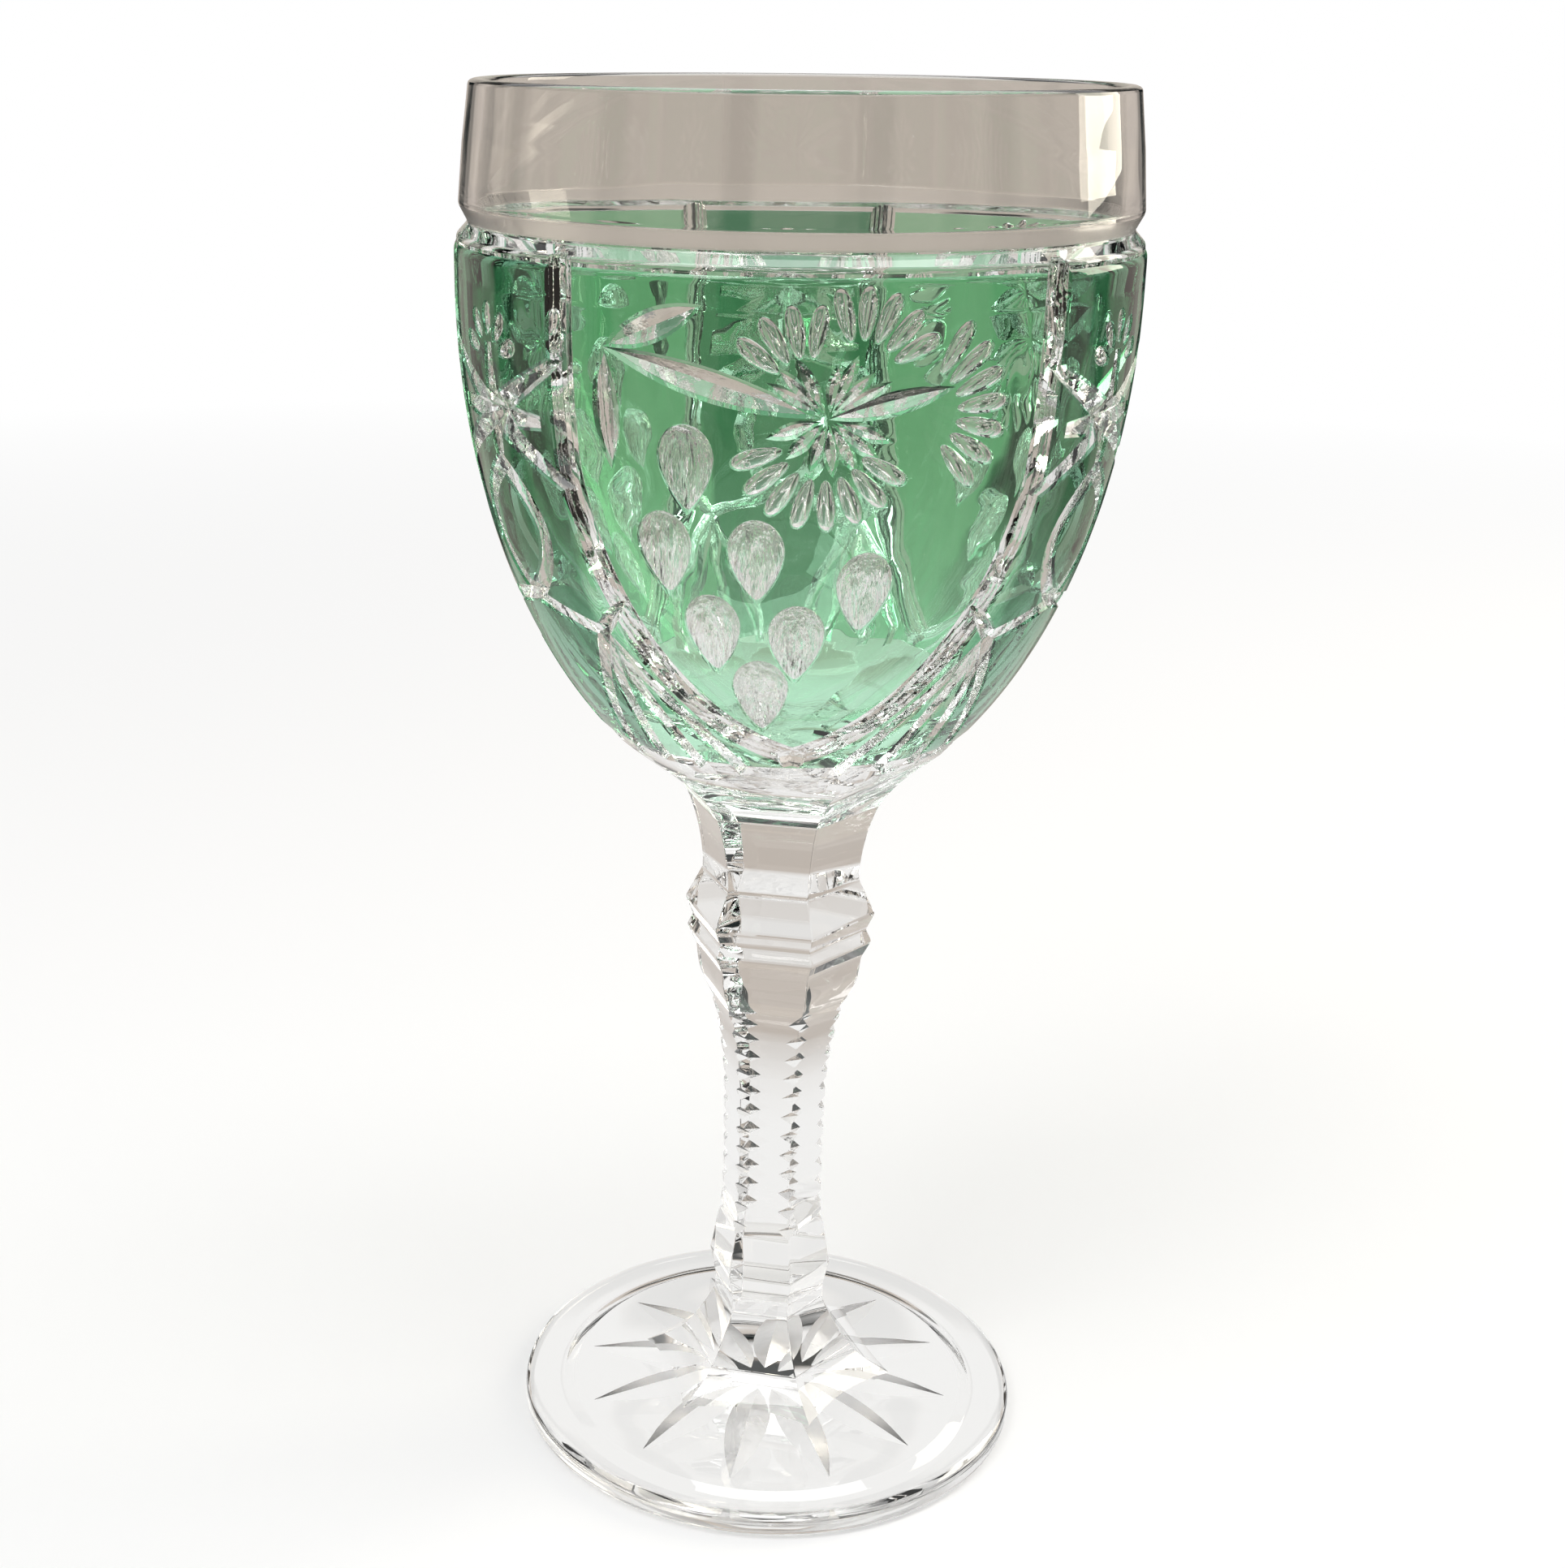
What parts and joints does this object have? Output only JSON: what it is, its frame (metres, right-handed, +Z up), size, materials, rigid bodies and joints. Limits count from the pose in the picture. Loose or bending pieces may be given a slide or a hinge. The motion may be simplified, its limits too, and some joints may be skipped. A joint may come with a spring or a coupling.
{
  "type": "stemmed glass",
  "caption": "Footed drinking glass of clear lead crystal with a green casing cut away in vine leaf, grape and star patterns, for serving wine.",
  "frame": {"origin": "centre of the foot at the surface that the glass stands on", "axes": "+Z up along the stem, -Y towards the front panel with the vine leaf, +X to its right"},
  "size_m": [0.0828, 0.0828, 0.18],
  "materials": {
    "clear_crystal": "polished clear lead crystal with cut and polished facets",
    "green_casing": "polished transparent emerald green casing glass"
  },
  "bodies": {
    "root": {"foot": "clear_crystal", "stem": "clear_crystal", "crystal_bowl": "clear_crystal", "green_panel_front": "green_casing", "green_panel_right": "green_casing", "green_panel_left": "green_casing", "right_column_crown": "green_casing", "right_column_oval": "green_casing", "right_column_kite": "green_casing", "right_column_right_dart": "green_casing", "right_column_left_dart": "green_casing", "right_column_right_wedge": "green_casing", "right_column_left_wedge": "green_casing", "right_column_right_inner_sliver": "green_casing", "right_column_left_inner_sliver": "green_casing", "right_column_right_middle_sliver": "green_casing", "right_column_left_middle_sliver": "green_casing", "right_column_right_outer_sliver": "green_casing", "right_column_left_outer_sliver": "green_casing", "back_column_crown": "green_casing", "back_column_oval": "green_casing", "back_column_kite": "green_casing", "back_column_right_dart": "green_casing", "back_column_left_dart": "green_casing", "back_column_right_wedge": "green_casing", "back_column_left_wedge": "green_casing", "back_column_right_inner_sliver": "green_casing", "back_column_left_inner_sliver": "green_casing", "back_column_right_middle_sliver": "green_casing", "back_column_left_middle_sliver": "green_casing", "back_column_right_outer_sliver": "green_casing", "back_column_left_outer_sliver": "green_casing", "left_column_crown": "green_casing", "left_column_oval": "green_casing", "left_column_kite": "green_casing", "left_column_right_dart": "green_casing", "left_column_left_dart": "green_casing", "left_column_right_wedge": "green_casing", "left_column_left_wedge": "green_casing", "left_column_right_inner_sliver": "green_casing", "left_column_left_inner_sliver": "green_casing", "left_column_right_middle_sliver": "green_casing", "left_column_left_middle_sliver": "green_casing", "left_column_right_outer_sliver": "green_casing", "left_column_left_outer_sliver": "green_casing"}
  },
  "joints": []
}
